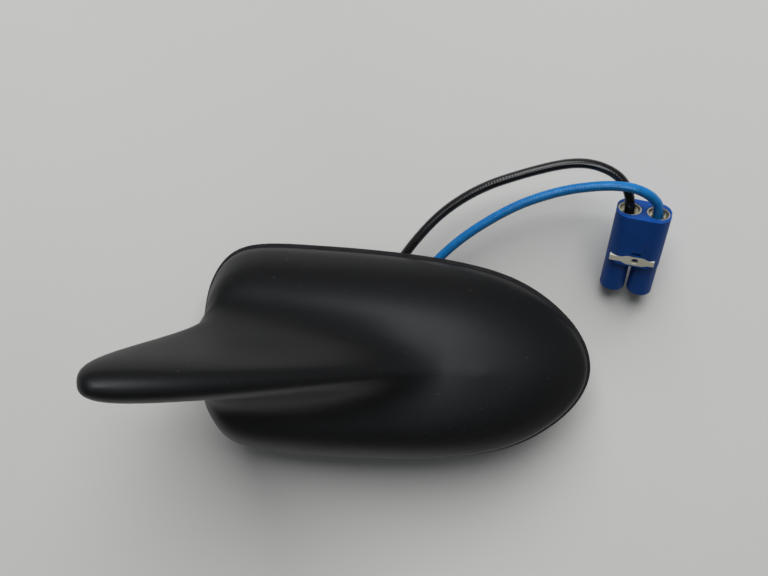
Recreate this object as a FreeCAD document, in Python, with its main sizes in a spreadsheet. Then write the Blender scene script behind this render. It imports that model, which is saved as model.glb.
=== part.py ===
import FreeCAD, Part
import math
import os
from collections import namedtuple

# A fin-shaped car roof antenna with two short coaxial leads and their twin plug.
# Millimetres. X points to the nose, Y to the side where the leads come out, Z up.
# The origin is on the stud's axis, on the roof that the seal lies on.

V = FreeCAD.Vector
doc = FreeCAD.newDocument("RoofAntenna")
sheet = doc.addObject("Spreadsheet::Sheet", "Sizes")

SIZES = {
    # cover
    "rim_length": 122.0,
    "rim_half_width": 33.0,
    "rear_round": 21.0,
    "nose_round": 80.4,
    "stud_setback": 65.0,
    "cover_wall": 2.2,
    "dome_headroom": 6.0,
    "dome_setback": 30.0,
    "nose_fall": 9.9,
    "fin_rise": 45.0,
    "fin_overhang": 19.2,
    "fin_reach": 78.0,
    "fin_foot_half": 17.1,
    "fin_root_half": 12.9,
    "fin_waist_half": 9.5,
    "fin_top_half": 7.2,
    "fin_crest_half": 6.1,
    "fin_ridge_half": 3.2,
    "boss_radius": 3.0,
    "boss_height": 20.0,
    "boss_inset": 15.0,
    "rear_boss_setback": 24.0,
    "front_boss_setback": 88.0,
    # seal and base plate
    "seal_thickness": 2.0,
    "seal_lip": 1.0,
    "plate_thickness": 2.0,
    "plate_gap": 2.0,
    "plate_nose_setback": 12.0,
    "spigot_length": 35.0,
    "spigot_width": 18.0,
    "spigot_depth": 4.0,
    "spigot_lead": 9.0,
    "spigot_gap": 0.25,
    # clearances: snug between fitted pieces, loose round screws
    "fit_gap": 0.05,
    "loose_gap": 0.25,
    # stud
    "stud_radius": 4.0,
    "stud_shank_radius": 5.0,
    "stud_length": 17.0,
    "stud_chamfer": 0.8,
    "stud_head_radius": 7.0,
    "stud_head_height": 1.4,
    # leads and grommet
    "lead_radius": 1.5,
    "lead_core_radius": 1.0,
    "lead_pitch": 5.2,
    "lead_setback": 17.0,
    "grommet_wall": 1.5,
    "grommet_flange": 1.2,
    "grommet_flange_height": 1.0,
    "crimp_wall": 0.7,
    # circuit board and what stands on it
    "board_length": 58.0,
    "board_width": 28.0,
    "board_corner": 3.0,
    "board_thickness": 1.0,
    "board_middle": -10.0,
    "standoff_height": 1.6,
    "standoff_radius": 2.4,
    "board_screw_inset": 3.2,
    "board_screw_radius": 1.0,
    "board_screw_head_radius": 1.9,
    "board_screw_head_height": 1.2,
    "board_screw_grip": 1.5,
    "cover_screw_radius": 1.2,
    "cover_screw_head_radius": 2.5,
    "cover_screw_head_height": 1.0,
    "cover_screw_grip": 3.6,
    "patch_side": 16.0,
    "patch_corner": 1.0,
    "patch_thickness": 3.0,
    "patch_middle": 6.0,
    "feed_offset": 2.2,
    "feed_radius": 0.45,
    "feed_head_radius": 1.1,
    "feed_head_height": 0.3,
    "can_length": 18.0,
    "can_width": 8.0,
    "can_height": 2.4,
    "can_wall": 0.3,
    "can_corner": 1.0,
    "can_setback": 15.0,
    "can_side": 8.6,
    "element_thickness": 0.8,
    "element_air": 2.0,
    "element_middle": -23.0,
    "element_foot": 20.0,
    "holder_wall": 2.0,
    "holder_height": 3.4,
    "holder_corner": 0.8,
    # twin plug
    "plug_length": 29.9,
    "plug_depth": 10.4,
    "plug_forward": 0.1,
    "plug_corner": 4.2,
    "barrel_length": 12.0,
    "barrel_radius": 3.9,
    "port_pitch": 8.5,
    "port_bore_radius": 2.7,
    "mating_bore_radius": 3.3,
    "mating_bore_depth": 7.0,
    "collar_radius": 3.5,
    "collar_depth": 3.8,
    "collar_flare_radius": 3.05,
    "collar_throat_radius": 2.6,
    "collar_flare_depth": 2.6,
    "collar_sink": 0.15,
    "shell_wall": 0.6,
    "shell_setback": 2.0,
    "insulator_setback": 3.5,
    "contact_radius": 0.5,
    "contact_setback": 2.6,
    "lock_length": 13.6,
    "lock_shift": -0.3,
    "lock_width": 1.9,
    "lock_depth": 1.5,
    "lock_boss_length": 5.0,
    "lock_boss_width": 3.2,
    "lock_boss_shift": 0.6,
    "lock_hole_radius": 1.0,
    "lock_middle": 14.1,
    "latch_length": 3.0,
    "latch_width": 1.2,
    "latch_depth": 0.8,
    "latch_rise": 2.6,
    # where the plug lies: the middle of its mating end, and its turns in degrees
    "plug_x": 68.85,
    "plug_y": 26.4,
    "plug_z": -13.05,
    "plug_rise": 33.6,
    "plug_yaw": -1.0,
    "plug_roll": -10.1,
}
for row, (alias, value) in enumerate(SIZES.items(), start=1):
    sheet.set(f"A{row}", alias)
    sheet.set(f"B{row}", str(value))
    sheet.setAlias(f"B{row}", alias)
doc.recompute()


def size(alias):
    return float(getattr(sheet, alias))


# Levels of the stack, from the roof up, as expressions and as numbers.
SEAL_TOP = "Sizes.seal_thickness"
PLATE_TOP = SEAL_TOP + " + Sizes.plate_thickness"
BOARD_UNDER = PLATE_TOP + " + Sizes.standoff_height"
BOARD_TOP = BOARD_UNDER + " + Sizes.board_thickness"
seal_top = size("seal_thickness")
plate_top = seal_top + size("plate_thickness")
board_under = plate_top + size("standoff_height")
board_top = board_under + size("board_thickness")
patch_top = board_top + size("patch_thickness")
dome_height = patch_top + size("dome_headroom") + size("cover_wall") - seal_top

rim_rear = -size("stud_setback")
rim_nose = rim_rear + size("rim_length")
lead_places = {
    "black": -size("lead_setback") - size("lead_pitch") / 2,
    "blue": -size("lead_setback") + size("lead_pitch") / 2,
}
port_places = {"black": -size("port_pitch") / 2, "blue": size("port_pitch") / 2}
boss_places = [
    (rim_rear + setback, side * (size("rim_half_width") - size("boss_inset")))
    for setback in (size("rear_boss_setback"), size("front_boss_setback"))
    for side in (-1, 1)
]
board_screw_places = [
    (
        size("board_middle") + along * (size("board_length") / 2 - size("board_screw_inset")),
        across * (size("board_width") / 2 - size("board_screw_inset")),
    )
    for along in (-1, 1)
    for across in (-1, 1)
]


# Helpers for sketches and features

def bind(thing, **expressions):
    """Bind properties to the sheet; two underscores stand for a dot."""
    for name, expression in expressions.items():
        thing.setExpression(name.replace("__", "."), expression)


def new_body(label):
    body = doc.addObject("PartDesign::Body", label)
    body.Label = label
    return body


def new_sketch(body, name, edges, level=None, role="XY_Plane"):
    """A sketch on one of the body's own planes, lifted along its normal by level."""
    sketch = body.newObject("Sketcher::SketchObject", body.Name + "_" + name)
    plane = [item for item in body.Origin.OriginFeatures if item.Role == role][0]
    sketch.AttachmentSupport = [(plane, "")]
    sketch.MapMode = "FlatFace"
    if level:
        sketch.setExpression("AttachmentOffset.Base.z", level)
    for edge in edges:
        sketch.addGeometry(edge, False)
    return sketch


def pad(body, name, edges, level, length, role="XY_Plane"):
    feature = body.newObject("PartDesign::Pad", body.Name + "_" + name)
    feature.Profile = new_sketch(body, name + "_sketch", edges, level, role)
    feature.setExpression("Length", length)
    doc.recompute()
    return feature


def pocket(body, name, edges, level, length=None, role="XY_Plane"):
    """A cut from level down by length, or right through."""
    feature = body.newObject("PartDesign::Pocket", body.Name + "_" + name)
    feature.Profile = new_sketch(body, name + "_sketch", edges, level, role)
    if length:
        feature.setExpression("Length", length)
    else:
        feature.Type = "ThroughAll"
    doc.recompute()
    return feature


def revolve(body, points):
    """Turn a closed profile of (radius, height) points about the body's Z axis."""
    sketch = new_sketch(body, "profile", polygon(points), role="XZ_Plane")
    feature = body.newObject("PartDesign::Revolution", body.Name + "_turned")
    feature.Profile = sketch
    feature.ReferenceAxis = (sketch, ["V_Axis"])
    feature.Angle = 360
    doc.recompute()
    return feature


def polygon(points):
    corners = [V(x, y, 0) for x, y in points]
    return [Part.LineSegment(a, b) for a, b in zip(corners, corners[1:] + corners[:1])]


def circle(x, y, radius):
    return Part.Circle(V(x, y, 0), V(0, 0, 1), radius)


def rounded_rectangle(x, y, length, width, corner):
    """Lines and quarter arcs about the middle (x, y)."""
    edges = []
    centres = [
        V(x + sx * (length / 2 - corner), y + sy * (width / 2 - corner), 0)
        for sx, sy in ((1, 1), (-1, 1), (-1, -1), (1, -1))
    ]
    quarter = math.pi / 2
    for turn, centre in enumerate(centres):
        arc = Part.ArcOfCircle(
            Part.Circle(centre, V(0, 0, 1), corner), turn * quarter, (turn + 1) * quarter
        )
        edges.append(arc)
    for turn, arc in enumerate(edges[:4]):
        following = edges[(turn + 1) % 4]
        if (arc.EndPoint - following.StartPoint).Length > 1e-6:
            edges.append(Part.LineSegment(arc.EndPoint, following.StartPoint))
    return edges


def slot(x, y, length, width):
    """An oblong with round ends along X."""
    return rounded_rectangle(x, y, length, width, width / 2)


def solid_feature(label, shape):
    feature = doc.addObject("Part::Feature", label)
    feature.Shape = shape
    feature.Placement = FreeCAD.Placement()
    return feature


def cylinder(label, radius, height, level, place):
    """An upright cylinder bound to the sheet, at the (x, y) of place."""
    feature = doc.addObject("Part::Cylinder", label)
    feature.Placement.Base = V(place[0], place[1], 0)
    bind(feature, Radius=radius, Height=height, Placement__Base__z=level)
    return feature


def cut(label, base, tool):
    feature = doc.addObject("Part::Cut", label)
    feature.Base = base
    feature.Tool = tool
    return feature


def group(label, members):
    feature = doc.addObject("Part::Compound", label)
    feature.Links = members
    return feature


# Cover: a net of rings, from the rim to the fin's crest, carries one cubic surface a side.
# A ring runs from its middle at the rear, round one side, to its middle at the nose.
# Each curve below gives a ring's points as (share of the rounding, share of the half width).
REAR_CURVE = [(0, 0), (0, 0.43), (0.155, 0.76), (0.55, 1)]
NOSE_CURVE = [(0.85, 1), (0.43, 0.936), (0.163, 0.69), (0, 0.25), (0, 0)]
CREST_REAR = [(0, 0), (0.03, 0), (0.16, 0), (0.55, 0)]
CREST_NOSE = [(0.85, 0), (0.43, 0), (0.163, 0), (0.02, 0), (0, 0)]
# How gently the fin starts, and how much it flattens towards its tip.
FIN_EASE = 0.56
FIN_CROWN = 0.7
# Where the upright sheet in the fin takes its outline from the rear edge and the crest.
ELEMENT_REAR = (5.0, 6.0, 7.0)
ELEMENT_CREST = (2.5, 3.5, 4.5, 5.2)


# Shares: of the dome's and the fin's height, of the rim's length at either end, of the fin's
# overhang, and of the rear rounding.
Ring = namedtuple(
    "Ring", "half_width dome_share fin_share rear_share tip_share nose_share round_share"
)


def cover_rings():
    """The rings, rim first: wall, shoulder, dome, foot of the fin, flank and crest."""
    half = size("rim_half_width")
    return [
        Ring(half, 0.00, 0.000, 0.000, 0.00, 0.000, 1.00),
        Ring(half, 0.24, 0.000, 0.002, 0.00, 0.002, 1.00),
        Ring(half * 0.963, 0.46, 0.000, 0.013, 0.00, 0.020, 1.00),
        Ring(half * 0.832, 0.79, 0.000, 0.016, 0.00, 0.064, 0.88),
        Ring(half * 0.668, 0.97, 0.000, 0.028, 0.00, 0.122, 0.70),
        Ring(size("fin_foot_half"), 1.04, -0.010, 0.010, 0.00, 0.168, 0.70),
        Ring(size("fin_root_half"), 1.09, 0.095, 0.011, 0.00, 0.208, 0.62),
        Ring(size("fin_waist_half"), 1.100, 0.330, 0.000, 0.50, 0.238, 0.87),
        Ring(size("fin_top_half"), 1.101, 0.690, 0.000, 1.00, 0.253, 0.87),
        Ring(size("fin_crest_half"), 1.103, 0.920, 0.000, 1.00, 0.264, 0.78),
        Ring(size("fin_ridge_half"), 1.104, 0.995, 0.000, 0.71, 0.271, 0.40),
        Ring(0.0, 1.105, 1.000, 0.000, 0.52, 0.275, 0.30),
    ]


def ring_points(ring):
    """The ring's points in plan, as (x, y)."""
    rear = rim_rear + size("rim_length") * ring.rear_share - size("fin_overhang") * ring.tip_share
    nose = rim_nose - size("rim_length") * ring.nose_share
    rounding = size("rear_round") * ring.round_share
    half = ring.half_width
    rear_curve = REAR_CURVE if half else CREST_REAR
    nose_curve = NOSE_CURVE if half else CREST_NOSE
    behind = [(rear + rounding * along, half * across) for along, across in rear_curve]
    ahead = [(nose - size("nose_round") * along, half * across) for along, across in nose_curve]
    middle = ((behind[-1][0] + ahead[0][0]) / 2, half)
    return behind + [middle] + ahead


def ring_height(ring, x):
    """The dome falls to the nose; the fin starts gently and flattens towards its rear tip."""
    dome_start = rim_rear + size("dome_setback")
    onward = max(0.0, (x - dome_start) / (rim_nose - dome_start))
    dome = dome_height - size("nose_fall") * onward ** 2
    fin_end = rim_rear + size("fin_reach")
    climb = max(0.0, (fin_end - x) / (size("fin_reach") + size("fin_overhang")))
    eased = climb ** 2 * (1 + FIN_EASE) / (climb + FIN_EASE)
    fin = size("fin_rise") * ((1 + FIN_CROWN) * eased - FIN_CROWN * eased ** 2)
    return seal_top + dome * ring.dome_share + fin * ring.fin_share


def blend(before, here, after):
    """Where a cubic passes beside the middle one of three of its points."""
    return (before + 4 * here + after) / 6


def cover_net():
    """Rows of points, rim first; inner points are lowered by what the cubic gains on the height."""
    net = []
    for ring in cover_rings():
        plan = ring_points(ring)
        row = [V(x, y, ring_height(ring, x)) for x, y in plan]
        heights = [point.z for point in row]
        for j in range(1, len(row) - 1):
            passed = blend(plan[j - 1][0], plan[j][0], plan[j + 1][0])
            gain = blend(*heights[j - 1:j + 2]) - ring_height(ring, passed)
            row[j].z = heights[j] - gain
        net.append(row)
    return net


def mirrored(point):
    return V(point.x, -point.y, point.z)


def inset_net(net, depth):
    """The net moved inward by depth, along its own normals; the rim stays level."""
    last_row = len(net) - 1
    last_place = len(net[0]) - 1
    moved = []
    for i, row in enumerate(net):
        new_row = []
        for j, point in enumerate(row):
            below = net[i - 1][j] if i else point - V(0, 0, 1)
            above = net[i + 1][j] if i < last_row else point
            behind = row[j - 1] if j else mirrored(row[1])
            ahead = row[j + 1] if j < last_place else mirrored(row[-2])
            climb = above - below
            if i == last_row:
                climb = V(0, -1, 0)
                behind = row[max(j - 1, 0)]
                ahead = row[min(j + 1, last_place)]
            normal = (ahead - behind).cross(climb)
            if i == 0:
                normal.z = 0
            normal.normalize()
            shifted = point + normal * depth
            if j in (0, last_place) or i == last_row:
                shifted.y = 0
            new_row.append(shifted)
        moved.append(new_row)
    return moved


def knots_of(count):
    """Knots and multiplicities of an open cubic with this many points."""
    spans = count - 3
    return list(range(spans + 1)), [4] + [1] * (spans - 1) + [4]


def spline_edge(points):
    knots, repeats = knots_of(len(points))
    curve = Part.BSplineCurve()
    curve.buildFromPolesMultsKnots(points, repeats, knots, False, 3)
    return curve


def spline_face(net):
    knots_up, repeats_up = knots_of(len(net))
    knots_along, repeats_along = knots_of(len(net[0]))
    surface = Part.BSplineSurface()
    surface.buildFromPolesMultsKnots(
        net, repeats_up, repeats_along, knots_up, knots_along, False, False, 3, 3
    )
    return surface.toShape()


def net_solid(net):
    """Both sides and the flat underside, closed to a solid."""
    other = [[mirrored(point) for point in row] for row in net]
    rim = [spline_edge(net[0]).toShape(), spline_edge(other[0]).toShape()]
    underside = Part.Face(Part.Wire(rim))
    shell = Part.makeShell([spline_face(net), spline_face(other), underside])
    shell.sewShape()
    solid = Part.makeSolid(shell)
    if solid.Volume < 0:
        solid.reverse()
    return solid


def rim_outline(inset):
    """The rim's outline moved inward by inset, as two mirrored curves for a sketch."""
    rim = [V(point.x, point.y, 0) for point in inset_net(cover_net(), inset)[0]]
    return [spline_edge(rim), spline_edge([mirrored(point) for point in rim])]


def make_cover():
    outer = solid_feature("cover_outside", net_solid(cover_net()))
    hollow_net = inset_net(cover_net(), size("cover_wall"))
    hollow_net[0] = [point - V(0, 0, size("seal_thickness")) for point in hollow_net[0]]
    hollow = solid_feature("cover_hollow", net_solid(hollow_net))
    bosses = group(
        "cover_bosses",
        [
            cylinder(f"cover_boss_{n}", "Sizes.boss_radius", "Sizes.boss_height", PLATE_TOP, place)
            for n, place in enumerate(boss_places)
        ],
    )
    pilots = group(
        "cover_pilots",
        [
            cylinder(
                f"cover_pilot_{n}",
                "Sizes.cover_screw_radius + Sizes.fit_gap",
                "Sizes.cover_screw_grip + Sizes.plate_thickness + Sizes.loose_gap",
                SEAL_TOP,
                place,
            )
            for n, place in enumerate(boss_places)
        ],
    )
    blank = cut("cover_blank", outer, cut("cover_core", hollow, bosses))
    return cut("cover", blank, pilots)


def make_base_seal():
    body = new_body("base_seal")
    pad(body, "flange", rim_outline(-size("seal_lip")), None, "Sizes.seal_thickness")
    gap = 2 * size("spigot_gap")
    opening = slot(spigot_middle(), 0, size("spigot_length") + gap, size("spigot_width") + gap)
    pocket(body, "opening", opening, SEAL_TOP)
    return body


def spigot_middle():
    return size("spigot_lead") - size("spigot_length") / 2


def grommet_hole():
    """Length and width of the plate's hole for the grommet."""
    width = 2 * (size("lead_radius") + size("grommet_wall"))
    return width + size("lead_pitch"), width


def make_base_plate():
    body = new_body("base_plate")
    inset = size("cover_wall") + size("plate_gap")
    pad(body, "plate", rim_outline(inset), SEAL_TOP, "Sizes.plate_thickness")
    front = rim_nose - size("plate_nose_setback")
    side = size("rim_half_width")
    low_nose = polygon([(front, -side), (rim_nose, -side), (rim_nose, side), (front, side)])
    pocket(body, "low_nose", low_nose, PLATE_TOP)
    spigot = slot(spigot_middle(), 0, size("spigot_length"), size("spigot_width"))
    pad(body, "spigot", spigot, "-Sizes.spigot_depth", "Sizes.spigot_depth + " + SEAL_TOP)
    standoffs = [circle(x, y, size("standoff_radius")) for x, y in board_screw_places]
    pad(body, "standoffs", standoffs, PLATE_TOP, "Sizes.standoff_height")
    stud_hole = circle(0, 0, size("stud_shank_radius") + size("fit_gap"))
    pocket(body, "stud_hole", [stud_hole], PLATE_TOP)
    length, width = grommet_hole()
    pocket(body, "grommet_hole", slot(-size("lead_setback"), 0, length, width), PLATE_TOP)
    taps = [
        circle(x, y, size("board_screw_radius") + size("fit_gap")) for x, y in board_screw_places
    ]
    pocket(body, "taps", taps, BOARD_UNDER, "Sizes.standoff_height + Sizes.board_screw_grip")
    screw_holes = [
        circle(x, y, size("cover_screw_radius") + size("loose_gap")) for x, y in boss_places
    ]
    pocket(body, "screw_holes", screw_holes, PLATE_TOP)
    head_seats = [
        circle(x, y, size("cover_screw_head_radius") + size("loose_gap")) for x, y in boss_places
    ]
    seat = SEAL_TOP + " + Sizes.cover_screw_head_height"
    pocket(body, "head_seats", head_seats, seat, "Sizes.cover_screw_head_height")
    return body


def make_mounting_stud():
    """A plain shank through the plate and its spigot, then the thread that takes the nut."""
    body = new_body("mounting_stud")
    radius = size("stud_radius")
    shank = size("stud_shank_radius")
    shoulder = -size("spigot_depth")
    end = -size("stud_length")
    chamfer = size("stud_chamfer")
    head = size("stud_head_radius")
    revolve(
        body,
        [
            (0, end),
            (radius - chamfer, end),
            (radius, end + chamfer),
            (radius, shoulder),
            (shank, shoulder),
            (shank, plate_top),
            (head, plate_top),
            (head, plate_top + size("stud_head_height")),
            (0, plate_top + size("stud_head_height")),
        ],
    )
    return body


def make_cable_grommet():
    body = new_body("cable_grommet")
    middle = -size("lead_setback")
    length, width = grommet_hole()
    gap = 2 * size("fit_gap")
    flange = 2 * size("grommet_flange")
    plug = slot(middle, 0, length - gap, width - gap)
    pad(body, "plug", plug, "-Sizes.spigot_depth", "Sizes.spigot_depth + " + PLATE_TOP)
    under = "-Sizes.spigot_depth - Sizes.grommet_flange_height"
    wide = slot(middle, 0, length + flange, width + flange)
    pad(body, "flange", wide, under, "Sizes.grommet_flange_height")
    jackets = [
        circle(x, 0, size("lead_radius") + size("fit_gap")) for x in lead_places.values()
    ]
    pocket(body, "jackets", jackets, "0 mm")
    cores = [
        circle(x, 0, size("lead_core_radius") + size("fit_gap")) for x in lead_places.values()
    ]
    pocket(body, "cores", cores, PLATE_TOP)
    return body


def make_circuit_board():
    body = new_body("circuit_board")
    outline = rounded_rectangle(
        size("board_middle"), 0, size("board_length"), size("board_width"), size("board_corner")
    )
    pad(body, "board", outline, BOARD_UNDER, "Sizes.board_thickness")
    holes = [
        circle(x, y, size("board_screw_radius") + size("loose_gap")) for x, y in board_screw_places
    ]
    feed = circle(feed_place(), 0, size("feed_radius") + size("fit_gap"))
    pocket(body, "holes", holes + [feed], BOARD_TOP)
    return body


def feed_place():
    return size("patch_middle") + size("feed_offset")


def make_patch_antenna():
    body = new_body("patch_antenna")
    side = size("patch_side")
    outline = rounded_rectangle(size("patch_middle"), 0, side, side, size("patch_corner"))
    pad(body, "block", outline, BOARD_TOP, "Sizes.patch_thickness")
    feed = circle(feed_place(), 0, size("feed_radius") + size("fit_gap"))
    pocket(body, "feed_hole", [feed], BOARD_TOP + " + Sizes.patch_thickness")
    return body


def make_patch_feed_pin():
    body = new_body("patch_feed_pin")
    body.Placement.Base = V(feed_place(), 0, 0)
    head_top = patch_top + size("feed_head_height")
    revolve(
        body,
        [
            (0, board_under),
            (size("feed_radius"), board_under),
            (size("feed_radius"), patch_top),
            (size("feed_head_radius"), patch_top),
            (size("feed_head_radius"), head_top),
            (0, head_top),
        ],
    )
    return body


def make_shield_can():
    body = new_body("shield_can")
    wall = size("can_wall")
    board_rear = size("board_middle") - size("board_length") / 2
    place = (board_rear + size("can_setback"), size("can_side"))
    length, width, corner = size("can_length"), size("can_width"), size("can_corner")
    outside = rounded_rectangle(*place, length, width, corner)
    pad(body, "can", outside, BOARD_TOP, "Sizes.can_height")
    inside = rounded_rectangle(*place, length - 2 * wall, width - 2 * wall, corner - wall)
    roof = BOARD_TOP + " + Sizes.can_height - Sizes.can_wall"
    pocket(body, "hollow", inside, roof)
    return body


def make_phone_element():
    """A stamped sheet upright in the fin, cut to follow the fin's hollow, with a foot for its holder."""
    body = new_body("phone_element")
    hollow = inset_net(cover_net(), size("cover_wall") + size("element_air"))
    rear_edge = spline_edge([row[0] for row in hollow])
    crest = spline_edge(hollow[-1])
    upper = [rear_edge.value(knot) for knot in ELEMENT_REAR]
    upper += [crest.value(knot) for knot in ELEMENT_CREST]
    outline = [(point.x, point.z) for point in upper]
    heel = size("element_middle") - size("element_foot") / 2
    toe = size("element_middle") + size("element_foot") / 2
    shelf = board_top + size("holder_height") + size("loose_gap")
    outline += [(toe, shelf), (toe, board_top), (heel, board_top), (heel, shelf)]
    feature = pad(body, "sheet", polygon(outline), None, "Sizes.element_thickness", "XZ_Plane")
    feature.SideType = "Symmetric"
    doc.recompute()
    return body


def make_element_holder():
    body = new_body("element_holder")
    middle = size("element_middle")
    gap = 2 * size("fit_gap")
    length = size("element_foot") + 2 * size("holder_wall")
    width = size("element_thickness") + 2 * size("holder_wall")
    outline = rounded_rectangle(middle, 0, length, width, size("holder_corner"))
    pad(body, "block", outline, BOARD_TOP, "Sizes.holder_height")
    left, right = -size("element_foot") / 2 - gap, size("element_foot") / 2 + gap
    half = size("element_thickness") / 2 + size("fit_gap")
    slit = [(middle + left, -half), (middle + right, -half), (middle + right, half), (middle + left, half)]
    pocket(body, "slit", polygon(slit), BOARD_TOP + " + Sizes.holder_height")
    return body


def make_screws(label, places, under_head, radius, length, head_radius, head_height, upward):
    """A group of plain screws; the shank leaves the head's seat upward or downward."""
    screws = []
    for n, place in enumerate(places):
        head_level = under_head + (" - " + head_height if upward else "")
        shank_level = under_head + ("" if upward else " - (" + length + ")")
        shank = cylinder(f"{label}_shank_{n}", radius, length, shank_level, place)
        head = cylinder(f"{label}_head_{n}", head_radius, head_height, head_level, place)
        screw = doc.addObject("Part::Fuse", f"{label}_{n}")
        screw.Base = shank
        screw.Tool = head
        screws.append(screw)
    return group(label, screws)


def make_lead_core(colour):
    """The stripped end of a lead, from the grommet's step up to the board."""
    place = (lead_places[colour], 0)
    return cylinder(f"{colour}_core", "Sizes.lead_core_radius", BOARD_UNDER, "0 mm", place)


def make_lead_crimp(colour):
    place = (lead_places[colour], 0)
    inner = "Sizes.lead_core_radius + Sizes.fit_gap"
    outside = cylinder(
        f"{colour}_crimp_outside", inner + " + Sizes.crimp_wall", "Sizes.standoff_height",
        PLATE_TOP, place,
    )
    bore = cylinder(f"{colour}_crimp_bore", inner, BOARD_TOP, SEAL_TOP, place)
    return cut(f"{colour}_crimp", outside, bore)


# Leads: the points of each route, from the grommet to the plug.
LEAD_ROUTES = {
    "black": [
        (-19.6, 0.0, 0.0),
        (-19.6, 0.0, -7.9),
        (-17.7, 4.2, -11.9),
        (-14.1, 11.0, -13.5),
        (-9.3, 20.5, -12.0),
        (-5.2, 28.5, -8.5),
        (2.0, 39.3, -4.5),
        (9.5, 47.8, -2.5),
        (20.1, 55.3, 0.0),
        (32.2, 60.2, 2.5),
        (43.9, 63.9, 4.5),
        (51.6, 64.5, 5.8),
        (58.2, 62.5, 6.4),
        (62.4, 59.2, 6.0),
    ],
    "blue": [
        (-14.4, 0.0, 0.0),
        (-14.4, 0.0, -7.9),
        (-11.8, 3.8, -11.8),
        (-7.3, 10.0, -13.3),
        (-1.5, 19.5, -11.8),
        (5.2, 28.2, -8.4),
        (13.8, 37.8, -4.5),
        (23.4, 45.4, -1.5),
        (33.0, 51.4, 1.0),
        (44.7, 56.0, 4.0),
        (54.9, 58.0, 7.4),
        (61.7, 58.3, 9.2),
        (66.8, 57.3, 9.2),
        (70.8, 55.3, 7.4),
    ],
}
LEAD_OUTSIDE = 2.0
LEAD_INSIDE = 3.6
ARC_SHARE = 0.45


def plug_placement():
    place = V(size("plug_x"), size("plug_y"), size("plug_z"))
    lie = FreeCAD.Rotation(size("plug_yaw"), 0, size("plug_rise") - 90)
    return FreeCAD.Placement(place, lie * FreeCAD.Rotation(V(0, 0, 1), size("plug_roll")))


def lead_points(colour):
    """The route, ended by a point on the plug's own axis and the lead's end in the collar."""
    points = [V(*point) for point in LEAD_ROUTES[colour]]
    for depth in (LEAD_OUTSIDE, -LEAD_INSIDE):
        local = V(port_places[colour], 0, size("plug_length") + depth)
        points.append(plug_placement().multVec(local))
    return points


def lead_path(colour):
    """Straight runs joined by arcs that touch them, each as large as its runs allow."""
    points = lead_points(colour)
    edges = []
    radii = []
    start = points[0]
    for before, corner, after in zip(points, points[1:], points[2:]):
        back = before - corner
        on = after - corner
        reach = ARC_SHARE * min(back.Length, on.Length)
        back.normalize()
        on.normalize()
        half_turn = (math.pi - back.getAngle(on)) / 2
        radius = reach / math.tan(half_turn)
        bisector = back + on
        bisector.normalize()
        middle = corner + bisector * (radius / math.cos(half_turn) - radius)
        edges.append(Part.LineSegment(start, corner + back * reach).toShape())
        edges.append(Part.Arc(corner + back * reach, middle, corner + on * reach).toShape())
        start = corner + on * reach
        radii.append(round(radius, 1))
    edges.append(Part.LineSegment(start, points[-1]).toShape())
    path = Part.Wire(edges)
    print(colour, "lead", round(path.Length, 1), "mm long, radii", radii)
    return path


def make_lead(colour):
    path = lead_path(colour)
    points = lead_points(colour)
    section = Part.Wire([Part.Circle(points[0], points[1] - points[0], size("lead_radius")).toShape()])
    return solid_feature(f"{colour}_lead", path.makePipeShell([section], True, False))


# Twin plug, in its own frame: Z from the mating end to the leads, the lock on the -Y face.
# Its block is as wide as the two barrels side by side.
PLUG_FACE = "Sizes.plug_depth / 2 + Sizes.plug_forward"


def make_plug_housing():
    body = new_body("plug_housing")
    width = size("port_pitch") + 2 * size("barrel_radius")
    block = rounded_rectangle(
        0, -size("plug_forward"), width, size("plug_depth"), size("plug_corner")
    )
    pad(body, "block", block, "Sizes.barrel_length", "Sizes.plug_length - Sizes.barrel_length")
    barrels = [circle(x, 0, size("barrel_radius")) for x in port_places.values()]
    pad(body, "barrels", barrels, None, "Sizes.barrel_length")
    bores = [circle(x, 0, size("port_bore_radius")) for x in port_places.values()]
    pocket(body, "bores", bores, "Sizes.plug_length")
    seats = [circle(x, 0, size("collar_radius")) for x in port_places.values()]
    pocket(body, "collar_seats", seats, "Sizes.plug_length", "Sizes.collar_depth")
    mouths = [circle(x, 0, size("mating_bore_radius")) for x in port_places.values()]
    pocket(body, "mating_bores", mouths, "Sizes.mating_bore_depth")
    gap = size("fit_gap")
    seat_depth = "Sizes.lock_depth + Sizes.fit_gap"
    pocket(body, "lock_seat", lock_outline(gap), PLUG_FACE, seat_depth, "XZ_Plane")
    latch = slot(
        size("lock_boss_shift"), size("lock_middle") + size("latch_rise"),
        size("latch_length"), size("latch_width"),
    )
    pocket(body, "latch", latch, PLUG_FACE, "Sizes.latch_depth", "XZ_Plane")
    body.Placement = plug_placement()
    return body


def lock_outline(grow):
    """The bar with its wider boss, in the plane of the plug's face."""
    left = size("lock_shift") - size("lock_length") / 2 - grow
    right = size("lock_shift") + size("lock_length") / 2 + grow
    thin = size("lock_width") / 2 + grow
    wide = size("lock_boss_width") / 2 + grow
    middle = size("lock_boss_shift")
    boss = size("lock_boss_length") / 2 + grow
    ramp = boss + size("lock_boss_width") / 2
    upper = [
        (right, thin), (middle + ramp, thin), (middle + boss, wide),
        (middle - boss, wide), (middle - ramp, thin), (left, thin),
    ]
    lower = [(x, -y) for x, y in reversed(upper)]
    return polygon([(x, size("lock_middle") + y) for x, y in upper + lower])


def make_plug_lock():
    body = new_body("plug_lock")
    level = PLUG_FACE + " - Sizes.lock_depth"
    pad(body, "bar", lock_outline(0), level, "Sizes.lock_depth", "XZ_Plane")
    hole = circle(size("lock_boss_shift"), size("lock_middle"), size("lock_hole_radius"))
    pocket(body, "hole", [hole], PLUG_FACE, None, "XZ_Plane")
    body.Placement = plug_placement()
    return body


def port_placement(colour):
    return plug_placement() * FreeCAD.Placement(V(port_places[colour], 0, 0), FreeCAD.Rotation())


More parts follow.
